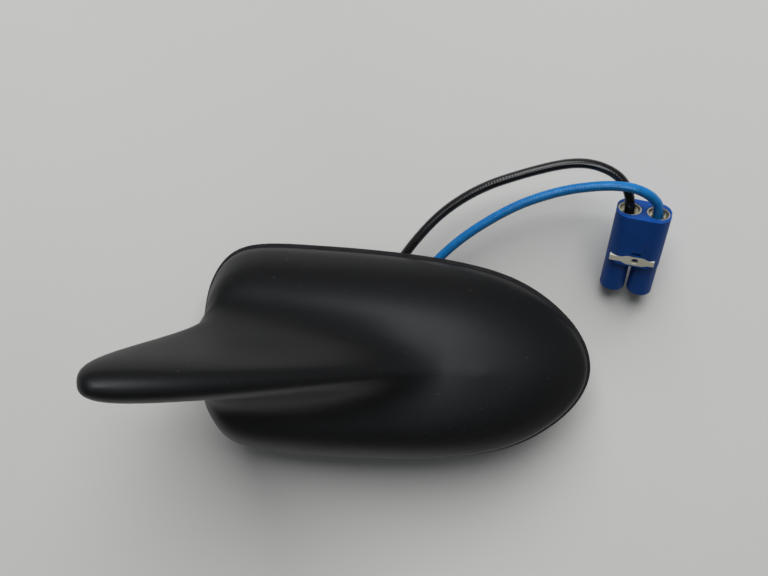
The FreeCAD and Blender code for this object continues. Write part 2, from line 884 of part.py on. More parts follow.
def make_port_piece(colour, name, points):
    """A turned piece on the axis of one port of the plug."""
    body = new_body(f"{colour}_{name}")
    revolve(body, points)
    body.Placement = port_placement(colour)
    return body


def make_collar(colour):
    top = size("plug_length") - size("collar_sink")
    bottom = size("plug_length") - size("collar_depth")
    outer = size("collar_radius") - size("fit_gap")
    bore = size("lead_radius") + size("fit_gap")
    flare = size("collar_flare_radius")
    throat = top - size("collar_flare_depth")
    points = [(bore, bottom), (outer, bottom), (outer, top), (flare, top)]
    points += [(size("collar_throat_radius"), throat), (bore, throat)]
    return make_port_piece(colour, "collar", points)


def make_shell(colour):
    top = size("plug_length") - size("collar_depth")
    outer = size("port_bore_radius") - size("fit_gap")
    inner = outer - size("shell_wall")
    bottom = size("shell_setback")
    points = [(inner, bottom), (outer, bottom), (outer, top), (inner, top)]
    return make_port_piece(colour, "shell", points)


def make_insulator(colour):
    top = size("plug_length") - size("collar_depth")
    outer = size("port_bore_radius") - size("shell_wall") - 2 * size("fit_gap")
    inner = size("contact_radius") + size("fit_gap")
    bottom = size("insulator_setback")
    points = [(inner, bottom), (outer, bottom), (outer, top), (inner, top)]
    return make_port_piece(colour, "insulator", points)


def make_contact(colour):
    top = size("plug_length") - LEAD_INSIDE
    radius = size("contact_radius")
    bottom = size("contact_setback")
    points = [(0, bottom), (radius, bottom), (radius, top), (0, top)]
    return make_port_piece(colour, "contact", points)


parts = [
    make_cover(),
    make_base_seal(),
    make_base_plate(),
    make_mounting_stud(),
    make_cable_grommet(),
    make_circuit_board(),
    make_patch_antenna(),
    make_patch_feed_pin(),
    make_shield_can(),
    make_phone_element(),
    make_element_holder(),
    make_screws(
        "board_screws", board_screw_places, BOARD_TOP, "Sizes.board_screw_radius",
        "Sizes.board_thickness + Sizes.standoff_height + Sizes.board_screw_grip - Sizes.fit_gap",
        "Sizes.board_screw_head_radius", "Sizes.board_screw_head_height", False,
    ),
    make_screws(
        "cover_screws", boss_places, SEAL_TOP + " + Sizes.cover_screw_head_height",
        "Sizes.cover_screw_radius",
        "Sizes.plate_thickness - Sizes.cover_screw_head_height + Sizes.cover_screw_grip",
        "Sizes.cover_screw_head_radius", "Sizes.cover_screw_head_height", True,
    ),
    make_plug_housing(),
    make_plug_lock(),
]
for colour in lead_places:
    parts += [make_lead_core(colour), make_lead_crimp(colour), make_lead(colour)]
    parts += [make_collar(colour), make_shell(colour), make_insulator(colour), make_contact(colour)]
doc.recompute()

failed = [item.Label for item in doc.Objects if {"Invalid", "Error"} & set(item.State)]
failed += [item.Label for item in parts if item.Shape.isNull() or not item.Shape.isValid()]
if failed:
    raise SystemExit("these did not build: " + ", ".join(failed))

os.makedirs("parts", exist_ok=True)
for item in parts:
    item.Shape.exportStep(f"parts/{item.Label}.step")
    print(item.Label, round(item.Shape.Volume, 2))
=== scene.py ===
# %% [markdown]
# # A fin-shaped roof antenna
# The antenna sits on a car's roof: a matt black moulded cover with a fin, a rubber seal under it,
# a threaded stud, and two coaxial leads that end in one blue twin plug.
# The solids of the part are loaded as a fixed frame. Everything below either gives a solid its
# finish, or puts a finer surface in its place, in metres and in the same frame.

# %% Load the frame
import math

import bmesh
import bpy
import numpy as np
from mathutils import Matrix, Vector


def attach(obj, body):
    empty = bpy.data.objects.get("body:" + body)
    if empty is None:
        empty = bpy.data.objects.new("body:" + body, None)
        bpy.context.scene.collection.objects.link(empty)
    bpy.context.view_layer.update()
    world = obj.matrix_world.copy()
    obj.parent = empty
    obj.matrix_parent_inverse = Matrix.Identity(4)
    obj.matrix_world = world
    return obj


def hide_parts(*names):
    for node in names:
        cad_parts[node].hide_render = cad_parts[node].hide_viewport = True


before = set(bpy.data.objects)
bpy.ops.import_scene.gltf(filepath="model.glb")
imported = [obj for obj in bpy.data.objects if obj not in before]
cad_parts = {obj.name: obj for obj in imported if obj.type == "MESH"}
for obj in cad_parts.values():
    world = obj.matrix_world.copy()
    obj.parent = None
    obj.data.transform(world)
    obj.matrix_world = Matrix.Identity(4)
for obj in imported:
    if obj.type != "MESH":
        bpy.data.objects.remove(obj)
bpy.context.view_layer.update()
MM = 0.001

# %% [markdown]
# ## The camera
# The photograph looks almost straight down, from a little beyond the far side, with the nose to
# the right. Three unit vectors give the camera's right, up and back, so no aiming is needed.

# %% Camera
CAMERA_PLACE = (12.43, 63.06, 281.17)
CAMERA_RIGHT = (0.99503, 0.05678, -0.08191)
CAMERA_UP = (-0.06789, 0.98782, -0.14006)
CAMERA_BACK = (0.07296, 0.14492, 0.98675)
CAMERA_LENS = 42.16
SENSOR_WIDTH = 36.0
NEAREST_SEEN = 0.01

camera_data = bpy.data.cameras.new("camera")
camera_data.lens = CAMERA_LENS
camera_data.sensor_width = SENSOR_WIDTH
camera_data.clip_start = NEAREST_SEEN
camera = bpy.data.objects.new("camera", camera_data)
turn = Matrix((CAMERA_RIGHT, CAMERA_UP, CAMERA_BACK)).transposed().to_4x4()
camera.matrix_world = Matrix.Translation([value * MM for value in CAMERA_PLACE]) @ turn
bpy.context.scene.collection.objects.link(camera)
bpy.context.scene.camera = camera
bpy.context.scene.view_settings.view_transform = "Standard"
print("camera at", CAMERA_PLACE, "mm, lens", CAMERA_LENS)

# %% [markdown]
# ## Helpers for surfaces
# Every new surface here is a grid of points worked out at once with numpy. One helper turns such a
# grid into quads, and closes it into a ring where a direction comes back to its start.

# %% Grid to mesh
WELD = 1e-7


def grid_index(points):
    """The number of each point of a grid, counted row by row."""
    rows, columns = points.shape[:2]
    return np.arange(rows * columns).reshape(rows, columns)


def grid_quads(index):
    """The four point numbers of each quad between neighbouring rows and columns."""
    corners = [index[:-1, :-1], index[:-1, 1:], index[1:, 1:], index[1:, :-1]]
    return np.stack(corners, axis=-1).reshape(-1, 4)


def quad_mesh(name, points, quads):
    """A mesh of the given quads, before its doubles are welded."""
    mesh = bpy.data.meshes.new(name)
    mesh.from_pydata(points.reshape(-1, 3).tolist(), [], quads.tolist())
    return mesh


def tidy_mesh(mesh):
    """Weld doubles, drop faces without area, turn faces outward and shade them smooth."""
    shape = bmesh.new()
    shape.from_mesh(mesh)
    bmesh.ops.remove_doubles(shape, verts=shape.verts, dist=WELD)
    bmesh.ops.dissolve_degenerate(shape, edges=shape.edges, dist=WELD)
    bmesh.ops.recalc_face_normals(shape, faces=shape.faces)
    for face in shape.faces:
        face.smooth = True
    shape.to_mesh(mesh)
    shape.free()
    return mesh


def grid_mesh(name, points, ring_rows=False, ring_columns=False):
    """Quads over a grid of points; a direction that is a ring ends with its first line again."""
    index = grid_index(points)
    if ring_columns:
        index = np.concatenate([index, index[:, :1]], axis=1)
    if ring_rows:
        index = np.concatenate([index, index[:1]], axis=0)
    return tidy_mesh(quad_mesh(name, points, grid_quads(index)))


def add_piece(name, mesh, material, slot, *nodes):
    """Link the mesh as a piece that rides on the body and stands for the named solids."""
    piece = bpy.data.objects.new(name, mesh)
    bpy.context.scene.collection.objects.link(piece)
    mesh.materials.append(material)
    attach(piece, "root")
    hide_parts(*nodes)
    print(name, len(mesh.polygons), "faces, in place of", ", ".join(nodes))
    return piece

# %% [markdown]
# ## Helpers for finishes
# A finish is a Principled shader with its constant values set on its own sockets, and a few noise
# patterns for what varies: the grain of a mould, dust, the drawn lines of a jacket. Patterns read
# the piece's own coordinates, so their scale is in patches per metre.

# %% Finish helpers
DEEP_BELOW = 0.3
PALE_ABOVE = 0.7


def new_finish(name, colour, roughness, metallic=0.0, specular=0.5):
    """A node material; returns it with its node tree and its shader."""
    material = bpy.data.materials.new(name)
    material.use_nodes = True
    tree = material.node_tree
    shader = tree.nodes["Principled BSDF"]
    shader.inputs["Base Color"].default_value = (*colour, 1.0)
    shader.inputs["Roughness"].default_value = roughness
    shader.inputs["Metallic"].default_value = metallic
    shader.inputs["Specular IOR Level"].default_value = specular
    return material, tree, shader


def noise_at(tree, place, scale, detail=2.0, stretch=(1.0, 1.0, 1.0)):
    """Noise over the given coordinates; a stretch below 1 pulls it out along that axis."""
    mapping = tree.nodes.new("ShaderNodeMapping")
    mapping.inputs["Scale"].default_value = stretch
    noise = tree.nodes.new("ShaderNodeTexNoise")
    noise.inputs["Scale"].default_value = scale
    noise.inputs["Detail"].default_value = detail
    tree.links.new(place, mapping.inputs["Vector"])
    tree.links.new(mapping.outputs["Vector"], noise.inputs["Vector"])
    return noise.outputs["Fac"]


def pattern(tree, scale, **settings):
    """Noise on the piece's own coordinates."""
    place = tree.nodes.new("ShaderNodeTexCoord")
    return noise_at(tree, place.outputs["Object"], scale, **settings)


def shades(tree, factor, *stops):
    """Colours over a factor: each stop is its place and its colour."""
    ramp = tree.nodes.new("ShaderNodeValToRGB")
    while len(ramp.color_ramp.elements) < len(stops):
        ramp.color_ramp.elements.new(1.0)
    for element, (place, colour) in zip(ramp.color_ramp.elements, stops):
        element.position = place
        element.color = (*colour, 1.0)
    tree.links.new(factor, ramp.inputs["Fac"])
    return ramp.outputs["Color"]


def spread(tree, factor, low, high):
    """A factor from 0 to 1 carried to the range from low to high."""
    reach = tree.nodes.new("ShaderNodeMapRange")
    reach.inputs["To Min"].default_value = low
    reach.inputs["To Max"].default_value = high
    tree.links.new(factor, reach.inputs["Value"])
    return reach.outputs["Result"]


def uneven_gloss(tree, shader, cloud, roughness, smoother, rougher):
    """A roughness that a cloud leads from a little below its value to a little above it."""
    gloss = spread(tree, cloud, roughness - smoother, roughness + rougher)
    tree.links.new(gloss, shader.inputs["Roughness"])


def uneven_tone(tree, shader, cloud, deep, pale):
    """A colour that a cloud leads from one tone to another."""
    tone = shades(tree, cloud, (DEEP_BELOW, deep), (PALE_ABOVE, pale))
    tree.links.new(tone, shader.inputs["Base Color"])


def relief(tree, shader, height, depth, strength):
    """Bump of the given depth in metres."""
    bump = tree.nodes.new("ShaderNodeBump")
    bump.inputs["Distance"].default_value = depth
    bump.inputs["Strength"].default_value = strength
    tree.links.new(height, bump.inputs["Height"])
    tree.links.new(bump.outputs["Normal"], shader.inputs["Normal"])

# %% [markdown]
# ## The leads
# The two leads leave the underside through one grommet, come out from under the far rim, rise in a
# loose bow and drop into the plug. Each route is a NURBS spline through a few control points, which
# bends as a springy lead does. A bevelled curve could draw it, but would carry neither the braid
# that shows through the jacket nor a UV map that runs along the lead. So a tube is carried along
# points read from that spline, and the braid's crossed rows are in the tube's own shape.

# %% Lead routes
LEAD_DIAMETER = 3.0 * MM
LEAD_ROUTES = {
    "black": [
        (-19.6, 0.0, 0.0),
        (-19.6, 0.0, -7.9),
        (-17.7, 4.2, -11.9),
        (-14.1, 11.0, -13.5),
        (-9.3, 20.5, -12.0),
        (-5.2, 28.5, -8.5),
        (2.0, 39.3, -4.5),
        (9.5, 47.8, -2.5),
        (20.1, 55.3, 0.0),
        (32.2, 60.2, 2.5),
        (43.9, 63.9, 4.5),
        (51.6, 64.5, 5.8),
        (58.2, 62.5, 6.4),
        (62.4, 59.2, 6.0),
    ],
    "blue": [
        (-14.4, 0.0, 0.0),
        (-14.4, 0.0, -7.9),
        (-11.8, 3.8, -11.8),
        (-7.3, 10.0, -13.3),
        (-1.5, 19.5, -11.8),
        (5.2, 28.2, -8.4),
        (13.8, 37.8, -4.5),
        (23.4, 45.4, -1.5),
        (33.0, 51.4, 1.0),
        (44.7, 56.0, 4.0),
        (54.9, 58.0, 7.4),
        (61.7, 58.3, 9.2),
        (66.8, 57.3, 9.2),
        (70.8, 55.3, 7.4),
    ],
}

# %% Plug frame
PLUG_PLACE = (68.85, 26.4, -13.05)
PLUG_LENGTH = 29.9
PLUG_TURNS = {"roll": -10.1, "tip": 33.6 - 90.0, "yaw": -1.0}
PORTS = {"black": -4.25, "blue": 4.25}
LEAD_OUTSIDE = 2.0
LEAD_INSIDE = 3.6

plug_turn = (
    Matrix.Rotation(math.radians(PLUG_TURNS["yaw"]), 3, "Z")
    @ Matrix.Rotation(math.radians(PLUG_TURNS["tip"]), 3, "X")
    @ Matrix.Rotation(math.radians(PLUG_TURNS["roll"]), 3, "Z")
)


def from_plug(points):
    """Points of the plug's own frame, in mm, carried to the part's frame: turn, then move."""
    return np.asarray(points, float) @ np.array(plug_turn).T + np.array(PLUG_PLACE)


def lead_controls(colour):
    """The route's points and the two on the port's axis, in metres."""
    ends = [
        (PORTS[colour], 0, PLUG_LENGTH + LEAD_OUTSIDE),
        (PORTS[colour], 0, PLUG_LENGTH - LEAD_INSIDE),
    ]
    return np.concatenate([np.array(LEAD_ROUTES[colour]), from_plug(ends)]) * MM


# %% Lead tubes
LEAN = (-0.7, 0.14, 0.7)
BRAID_STARTS = 4
BRAID_ROWS = 5.0
BRAID_DEPTH = 0.07 * MM
SPLINE_ORDER = 3


def spline_points(name, controls, resolution=80):
    """Points of a NURBS spline with the given control points."""
    curve = bpy.data.curves.new(name, "CURVE")
    curve.dimensions = "3D"
    curve.resolution_u = resolution
    spline = curve.splines.new("NURBS")
    spline.points.add(len(controls) - 1)
    weighted = np.concatenate([controls, np.ones((len(controls), 1))], axis=1)
    spline.points.foreach_set("co", weighted.ravel())
    spline.order_u = SPLINE_ORDER
    spline.use_endpoint_u = True
    holder = bpy.data.objects.new(name, curve)
    bpy.context.scene.collection.objects.link(holder)
    bpy.context.view_layer.update()
    mesh = bpy.data.meshes.new_from_object(holder)
    points = np.empty(len(mesh.vertices) * 3)
    mesh.vertices.foreach_get("co", points)
    bpy.data.objects.remove(holder)
    bpy.data.curves.remove(curve)
    bpy.data.meshes.remove(mesh)
    return points.reshape(-1, 3)


def tube_frames(path):
    """Two unit vectors square to each tangent: tangent x LEAN, along which no stretch runs, and
    tangent x that."""
    tangents = np.gradient(path, axis=0)
    tangents /= np.linalg.norm(tangents, axis=1)[:, None]
    sides = np.cross(tangents, LEAN)
    sides /= np.linalg.norm(sides, axis=1)[:, None]
    return sides, np.cross(tangents, sides)


def tube_mesh(name, path, radius, around=56):
    """Circles about the path, path + r (cos a side + sin a other), with closed ends. The braid
    under the jacket lifts it in crossed rows: r = radius - depth (2 + cos 2na - cos 4 pi pv) / 4,
    with the angle a in n starts and the length v, in circumferences, in p rows. U runs once round
    and V is that length."""
    sides, others = tube_frames(path)
    angles = np.linspace(0, 2 * np.pi, around + 1)
    steps = np.linalg.norm(np.diff(path, axis=0), axis=1)
    along = np.concatenate([[0.0], np.cumsum(steps)]) / (2 * np.pi * radius)
    starts = np.cos(2 * BRAID_STARTS * angles)[None, :]
    rows = np.cos(4 * np.pi * BRAID_ROWS * along)[:, None]
    lifted = (radius - BRAID_DEPTH * (2 + starts - rows) / 4)[..., None]
    rings = (
        path[:, None]
        + lifted * np.cos(angles)[None, :, None] * sides[:, None]
        + lifted * np.sin(angles)[None, :, None] * others[:, None]
    )
    caps = [np.repeat(path[end][None, None], around + 1, axis=1) for end in (0, -1)]
    points = np.concatenate([caps[0], rings, caps[1]])
    along = np.concatenate([along[:1], along, along[-1:]])
    across = np.linspace(0, 1, around + 1)
    texture = np.stack(np.broadcast_arrays(across[None, :], along[:, None]), axis=-1)
    return uv_grid(name, points, texture)


def uv_grid(name, points, texture):
    """A grid mesh with a UV map, written for the quads' corners before the seam is welded."""
    quads = grid_quads(grid_index(points))
    mesh = quad_mesh(name, points, quads)
    layer = mesh.uv_layers.new(name="along")
    layer.data.foreach_set("uv", texture.reshape(-1, 2)[quads.ravel()].ravel())
    return tidy_mesh(mesh)

# %% [markdown]
# ## The jackets' finish
# The jackets are drawn plastic over a braid. The braid's crossed rows are in the tube's shape; the
# finish adds fine lines along the lead, left by the die, and a mottled colour and gloss.

# %% Jacket finish
DIE_LINES = 40.0
DIE_STRETCH = 0.05


def drawn_lines(tree):
    """Noise on the jacket's UV map, pulled out along the lead by a small scale in V."""
    place = tree.nodes.new("ShaderNodeUVMap")
    place.uv_map = "along"
    return noise_at(tree, place.outputs["UV"], DIE_LINES, stretch=(1.0, DIE_STRETCH, 1.0))


def jacket_finish(name, dark, light, roughness, specular):
    """Plastic over braid: lines of the die, a mottled colour and a slightly uneven gloss."""
    material, tree, shader = new_finish(name, light, roughness, specular=specular)
    relief(tree, shader, drawn_lines(tree), depth=0.02 * MM, strength=0.5)
    cloud = pattern(tree, 400.0, detail=4.0)
    uneven_tone(tree, shader, cloud, dark, light)
    uneven_gloss(tree, shader, cloud, roughness, smoother=0.06, rougher=0.08)
    return material


JACKETS = {
    "black": jacket_finish(
        "black_jacket", (0.005, 0.005, 0.005), (0.009, 0.009, 0.009), roughness=0.24, specular=0.55
    ),
    "blue": jacket_finish(
        "blue_jacket", (0.006, 0.115, 0.33), (0.010, 0.16, 0.42), roughness=0.24, specular=0.28
    ),
}

# %% Leads in place
leads = {}
lead_paths = {}
for colour in LEAD_ROUTES:
    lead_paths[colour] = spline_points(colour + "_route", lead_controls(colour))
    mesh = tube_mesh(colour + "_jacket", lead_paths[colour], LEAD_DIAMETER / 2)
    leads[colour] = add_piece(
        colour + "_jacket", mesh, JACKETS[colour], "jacket_" + colour, colour + "_lead"
    )

# %% [markdown]
# ## The cover's surface
# The cover is one moulding: a low dome that falls to the nose, with a fin that climbs to a tip
# behind the rim. It could be lofted through cuts across it, but the fin would then ripple where it
# leaves the dome. Here a net of rings, from the rim to the fin's crest, carries a cubic B-spline
# surface for one side, and the other side mirrors it. The outside takes its plan from that surface
# and its height straight from the law of the dome and the fin, so it has no ripples.
# The solid in the frame comes from such a net too, and this finer surface keeps close to it. The
# fin's crest differs most: here it narrows more toward the front, as in the photo, and lies a
# little lower where the fin starts.

# %% Cubic weights
TINY = 1e-9


def knot_row(count):
    """The knots of an open cubic: whole numbers, with each end there four times."""
    return np.concatenate([np.zeros(3), np.arange(count - 2), np.full(3, count - 3)])


def cubic_weights(count, samples):
    """Cubic B-spline weights by the Cox-de Boor recursion: a row a sample, a column a point."""
    knots = knot_row(count)
    place = np.clip(samples, 0, knots[-1] - TINY)[:, None]
    weights = ((knots[:-1] <= place) & (place < knots[1:])).astype(float)
    for degree in (1, 2, 3):
        span = knots[degree:] - knots[:-degree]
        safe = np.where(span > 0, span, 1.0)
        share = np.where(span > 0, (place - knots[:-degree]) / safe, 0.0)
        rest = np.where(span > 0, (knots[degree:] - place) / safe, 0.0)
        weights = share[:, :-1] * weights[:, :-1] + rest[:, 1:] * weights[:, 1:]
    return weights


def own_places(count):
    """The place where each point pulls most: the mean of its three inner knots."""
    knots = knot_row(count)
    return (knots[1:count + 1] + knots[2:count + 2] + knots[3:count + 3]) / 3


# %% Cover net
RIM_LENGTH = 122.0
RIM_HALF = 33.0
RIM_REAR = -65.0
RIM_NOSE = RIM_REAR + RIM_LENGTH
SEAL_TOP = 2.0
DOME_HEIGHT = 15.8
DOME_CREST = 30.0
DOME_START = RIM_REAR + DOME_CREST
NOSE_FALL = 9.9
REAR_ROUND = 21.0
NOSE_ROUND = 80.4
FIN_RISE = 45.0
FIN_REACH = 78.0
FIN_OVERHANG = 19.2
FIN_EASE = 0.56
FIN_CROWN = 0.7
FIN_TAIL = RIM_REAR - FIN_OVERHANG
FIN_START = RIM_REAR + FIN_REACH
RIDGE_END = 23.5
RIDGE_TAPER = 1.3
COVER_WALL = 2.2
REAR_CURVE = np.array([(0, 0), (0, 0.43), (0.155, 0.76), (0.55, 1)])
NOSE_CURVE = np.array([(0.85, 1), (0.43, 0.936), (0.163, 0.69), (0, 0.25), (0, 0)])
CREST_REAR = np.array([(0, 0), (0.03, 0), (0.16, 0), (0.55, 0)])
CREST_NOSE = np.array([(0.85, 0), (0.43, 0), (0.163, 0), (0.02, 0), (0, 0)])
# Each ring: half width, then its shares of the dome, the fin, the rim's length at the rear, the
# overhang, the rim's length at the nose and the rear rounding, and the share of its width that is
# left where the fin starts.
RINGS = [
    (RIM_HALF, 0.00, 0.000, 0.000, 0.00, 0.000, 1.00, 1.00),
    (RIM_HALF, 0.24, 0.000, 0.002, 0.00, 0.002, 1.00, 1.00),
    (RIM_HALF * 0.963, 0.46, 0.000, 0.013, 0.00, 0.020, 1.00, 1.00),
    (RIM_HALF * 0.832, 0.79, 0.000, 0.016, 0.00, 0.064, 0.88, 1.00),
    (RIM_HALF * 0.668, 0.97, 0.000, 0.028, 0.00, 0.122, 0.70, 1.00),
    (17.1, 1.036, 0.012, 0.010, 0.00, 0.168, 0.70, 1.00),
    (12.9, 1.068, 0.126, 0.011, 0.00, 0.208, 0.62, 1.00),
    (9.5, 1.086, 0.330, 0.000, 0.50, 0.238, 0.87, 0.88),
    (7.6, 1.095, 0.690, 0.000, 1.00, 0.253, 0.87, 0.54),
    (6.4, 1.099, 0.920, 0.000, 1.00, 0.264, 0.78, 0.16),
    (3.2, 1.100, 0.998, 0.000, 0.71, 0.271, 0.40, 0.20),
    (0.0, 1.100, 1.000, 0.000, 0.52, 0.275, 0.30, 1.00),
]


def rise_at(x, dome_share, fin_share):
    """Height over the seal: the dome falls with the square of the way to the nose; the fin starts
    with a square, goes on nearly straight and flattens to its tip."""
    onward = np.clip((x - DOME_START) / (RIM_NOSE - DOME_START), 0, None)
    climb = np.clip((FIN_START - x) / (FIN_REACH + FIN_OVERHANG), 0, None)
    eased = climb ** 2 * (1 + FIN_EASE) / (climb + FIN_EASE)
    fin = FIN_RISE * ((1 + FIN_CROWN) * eased - FIN_CROWN * eased ** 2)
    return (DOME_HEIGHT - NOSE_FALL * onward ** 2) * dome_share + fin * fin_share


def ring_row(
    half, dome_share, fin_share, rear_share, tip_share, nose_share, round_share, width_left
):
    """One ring of the net: its plan from the two end curves, with the fin's rings drawn in toward
    the fin's start and let out again ahead of it, and the heights that carry the cubic through the
    height of the dome and the fin at each point's own place."""
    behind = REAR_CURVE if half else CREST_REAR
    ahead = NOSE_CURVE if half else CREST_NOSE
    rear = RIM_REAR + RIM_LENGTH * rear_share - FIN_OVERHANG * tip_share
    rear_x = rear + REAR_ROUND * round_share * behind[:, 0]
    nose_x = RIM_NOSE - RIM_LENGTH * nose_share - NOSE_ROUND * ahead[:, 0]
    x = np.concatenate([rear_x, [(rear_x[-1] + nose_x[0]) / 2], nose_x])
    y = np.concatenate([half * behind[:, 1], [half], half * ahead[:, 1]])
    forward = np.clip((x - FIN_TAIL) / (FIN_START - FIN_TAIL), 0, 1) ** RIDGE_TAPER
    ended = np.clip((RIDGE_END - x) / (RIDGE_END - FIN_START), 0, 1)
    y *= 1 - (1 - width_left) * forward * ended
    weights = cubic_weights(len(x), own_places(len(x)))
    z = SEAL_TOP + np.linalg.solve(weights, rise_at(weights @ x, dome_share, fin_share))
    return np.stack([x, y, z], axis=-1)


def mirror(points):
    """The same points on the other side of the middle plane."""
    return points * (1.0, -1.0, 1.0)


def inset_net(net, depth):
    """The net moved inward along its normals; a normal is (ahead - behind) x (above - below)."""
    below = np.concatenate([net[:1] - (0, 0, 1), net[:-1]])
    above = np.concatenate([net[1:], net[-1:]])
    behind = np.concatenate([mirror(net[:, 1:2]), net[:, :-1]], axis=1)
    ahead = np.concatenate([net[:, 1:], mirror(net[:, -2:-1])], axis=1)
    climb = above - below
    climb[-1] = (0, -1, 0)
    behind[-1, 0] = net[-1, 0]
    ahead[-1, -1] = net[-1, -1]
    normal = np.cross(ahead - behind, climb)
    normal[0, :, 2] = 0
    normal /= np.linalg.norm(normal, axis=-1, keepdims=True)
    moved = net + normal * depth
    moved[..., 1] = np.maximum(moved[..., 1], 0)
    moved[:, [0, -1], 1] = 0
    moved[-1, :, 1] = 0
    return moved


cover_net = np.stack([ring_row(*ring) for ring in RINGS])
print("cover net of", cover_net.shape[0], "rings and", cover_net.shape[1], "stations")

# %% Cubic surface
LAST_RING = cover_net.shape[0] - 3
LAST_STATION = cover_net.shape[1] - 3
STATION_COUNT = 141
STATIONS = np.linspace(0, LAST_STATION, STATION_COUNT)
OUTSIDE_ROWS = 112
INSIDE_ROWS = 46
OUTSIDE_START = 0.25
RIM_EDGE = 0.4
RIM_EDGE_TURNS = (0.0, 30.0, 60.0)


def cubic_surface(net, up, along):
    """Points of the surface at the given places: weights up x net x weights along."""
    return np.einsum(
        "ui,vj,ijk->uvk", cubic_weights(net.shape[0], up), cubic_weights(net.shape[1], along), net
    )


def outer_skin(up, along):
    """The outside of one side: the plan from the cubic surface, and the height from the dome and
    the fin at that place, with the rings' shares blended by the same weights."""
    skin = cubic_surface(cover_net, up, along)
    shares = cubic_weights(len(RINGS), up) @ np.array(RINGS)[:, 1:3]
    skin[..., 2] = SEAL_TOP + rise_at(skin[..., 0], shares[:, :1], shares[:, 1:])
    return skin


def both_sides(half):
    """A half grid, rear to nose, gone on round the other side to a closed ring of columns."""
    return np.concatenate([half, mirror(half[:, -2:0:-1])], axis=1)


def rim_line(inset):
    """One side of the rim's edge, moved inward: the foot of the surface over the moved net."""
    return cubic_surface(inset_net(cover_net, inset), np.zeros(1), STATIONS)[0]


def cover_points():
    """One closed skin: down the inside from crest to rim, across the rim's rounded edge, and up the
    outside."""
    outside = outer_skin(np.linspace(OUTSIDE_START, LAST_RING, OUTSIDE_ROWS), STATIONS)
    inner_net = inset_net(cover_net, COVER_WALL)
    inside = cubic_surface(inner_net, np.linspace(LAST_RING, 0, INSIDE_ROWS), STATIONS)
    inner_line = rim_line(RIM_EDGE)
    turns = np.radians(RIM_EDGE_TURNS)[:, None, None]
    edge = inner_line + (rim_line(0.0) - inner_line) * np.sin(turns)
    edge[..., 2] = SEAL_TOP + RIM_EDGE * (1 - np.cos(turns[..., 0]))
    return both_sides(np.concatenate([inside, edge, outside])) * MM

# %% [markdown]
# ## The cover's finish
# The moulding is black with a fine matt texture, so it shows no sharp reflection: a broad sheen on
# what faces the light, and near black elsewhere. Two grains make the texture, one of spark-eroded
# pits and one of slow unevenness. Pale dust lies on it in small specks.

# %% Cover finish
COVER_BLACK = (0.0035, 0.0037, 0.0042)
COVER_GLOSS = 0.44
DUST_PALE = (0.04, 0.04, 0.038)
DUST_FROM = 0.82
DUST_FULL = 0.88


def cover_finish():
    """Near-black moulding with a fine matt grain, an uneven gloss and pale specks of dust."""
    material, tree, shader = new_finish("cover_black", COVER_BLACK, COVER_GLOSS)
    relief(tree, shader, pattern(tree, 2600.0, detail=3.0), depth=0.05 * MM, strength=0.3)
    cloud = pattern(tree, 60.0, detail=4.0)
    uneven_gloss(tree, shader, cloud, COVER_GLOSS, smoother=0.04, rougher=0.05)
    dust = pattern(tree, 1500.0, detail=0.0)
    specks = shades(tree, dust, (DUST_FROM, COVER_BLACK), (DUST_FULL, DUST_PALE))
    tree.links.new(specks, shader.inputs["Base Color"])
    return material


add_piece(
    "cover_moulding",
    grid_mesh("cover_moulding", cover_points(), ring_columns=True),
    cover_finish(), "cover_black", "cover",
)

# %% [markdown]
# ## The seal
# A rubber pad lies between the cover and the roof. Its lip stands out past the rim as a thin dark
# line. The section is carried round the rim: out along the top, over the rounded lip, back along
# the underside, and up the wall of the opening for the spigot.

# %% Seal
SEAL_LIP = 1.0
LIP_ROUND = 0.9
LIP_TURNS = np.linspace(90, -90, 13)
RIM_INSIDE = 0.1
SPIGOT_FRONT = 9.0
SPIGOT_LENGTH = 35.0
SPIGOT_MIDDLE = SPIGOT_FRONT - SPIGOT_LENGTH / 2
OPENING_LENGTH = 35.5
OPENING_WIDTH = 18.5


def opening_line(angles):
    """An oblong with round ends: the place where a ray at each angle leaves it."""
    round_end = OPENING_WIDTH / 2
    reach = OPENING_LENGTH / 2 - round_end
    cosine, sine = np.cos(angles), np.sin(angles)
    side = round_end / np.maximum(np.abs(sine), TINY)
    lean = reach * np.abs(cosine)
    end = lean + np.sqrt(np.maximum(lean ** 2 - reach ** 2 + round_end ** 2, 0))
    distance = np.where(side * np.abs(cosine) <= reach, side, end)
    x, y = SPIGOT_MIDDLE + distance * cosine, distance * sine
    return np.stack([x, y, np.zeros_like(angles)], axis=-1)


def seal_points():
    """Rows of one closed section carried round the rim: opening wall, top, lip, underside."""
    lip = both_sides(rim_line(-SEAL_LIP)[None])[0]
    inner = both_sides(rim_line(RIM_INSIDE)[None])[0]
    opening = opening_line(np.arctan2(lip[:, 1], lip[:, 0] - SPIGOT_MIDDLE))
    turns = np.radians(LIP_TURNS)[:, None, None]
    half = SEAL_TOP / 2
    outward = (lip - inner) / np.linalg.norm(lip - inner, axis=1)[:, None]
    section = lip - outward * half * LIP_ROUND * (1 - np.cos(turns))
    section[..., 2] = half + half * np.sin(turns[..., 0])
    top, bottom = opening.copy(), opening.copy()
    top[:, 2], bottom[:, 2] = SEAL_TOP, 0.0
    return np.concatenate([top[None], section, bottom[None]]) * MM


def seal_finish():
    """Matt rubber with a cloudy bloom and a fine grain."""
    material, tree, shader = new_finish("seal_rubber", (0.010, 0.010, 0.011), 0.7, specular=0.35)
    bloom = pattern(tree, 250.0, detail=5.0)
    tone = shades(tree, bloom, (0.35, (0.007, 0.007, 0.008)), (0.75, (0.016, 0.016, 0.017)))
    tree.links.new(tone, shader.inputs["Base Color"])
    relief(tree, shader, pattern(tree, 1800.0), depth=0.04 * MM, strength=0.4)
    return material


add_piece(
    "seal_pad",
    grid_mesh("seal_pad", seal_points(), ring_rows=True, ring_columns=True),
    seal_finish(), "seal_rubber", "base_seal",
)

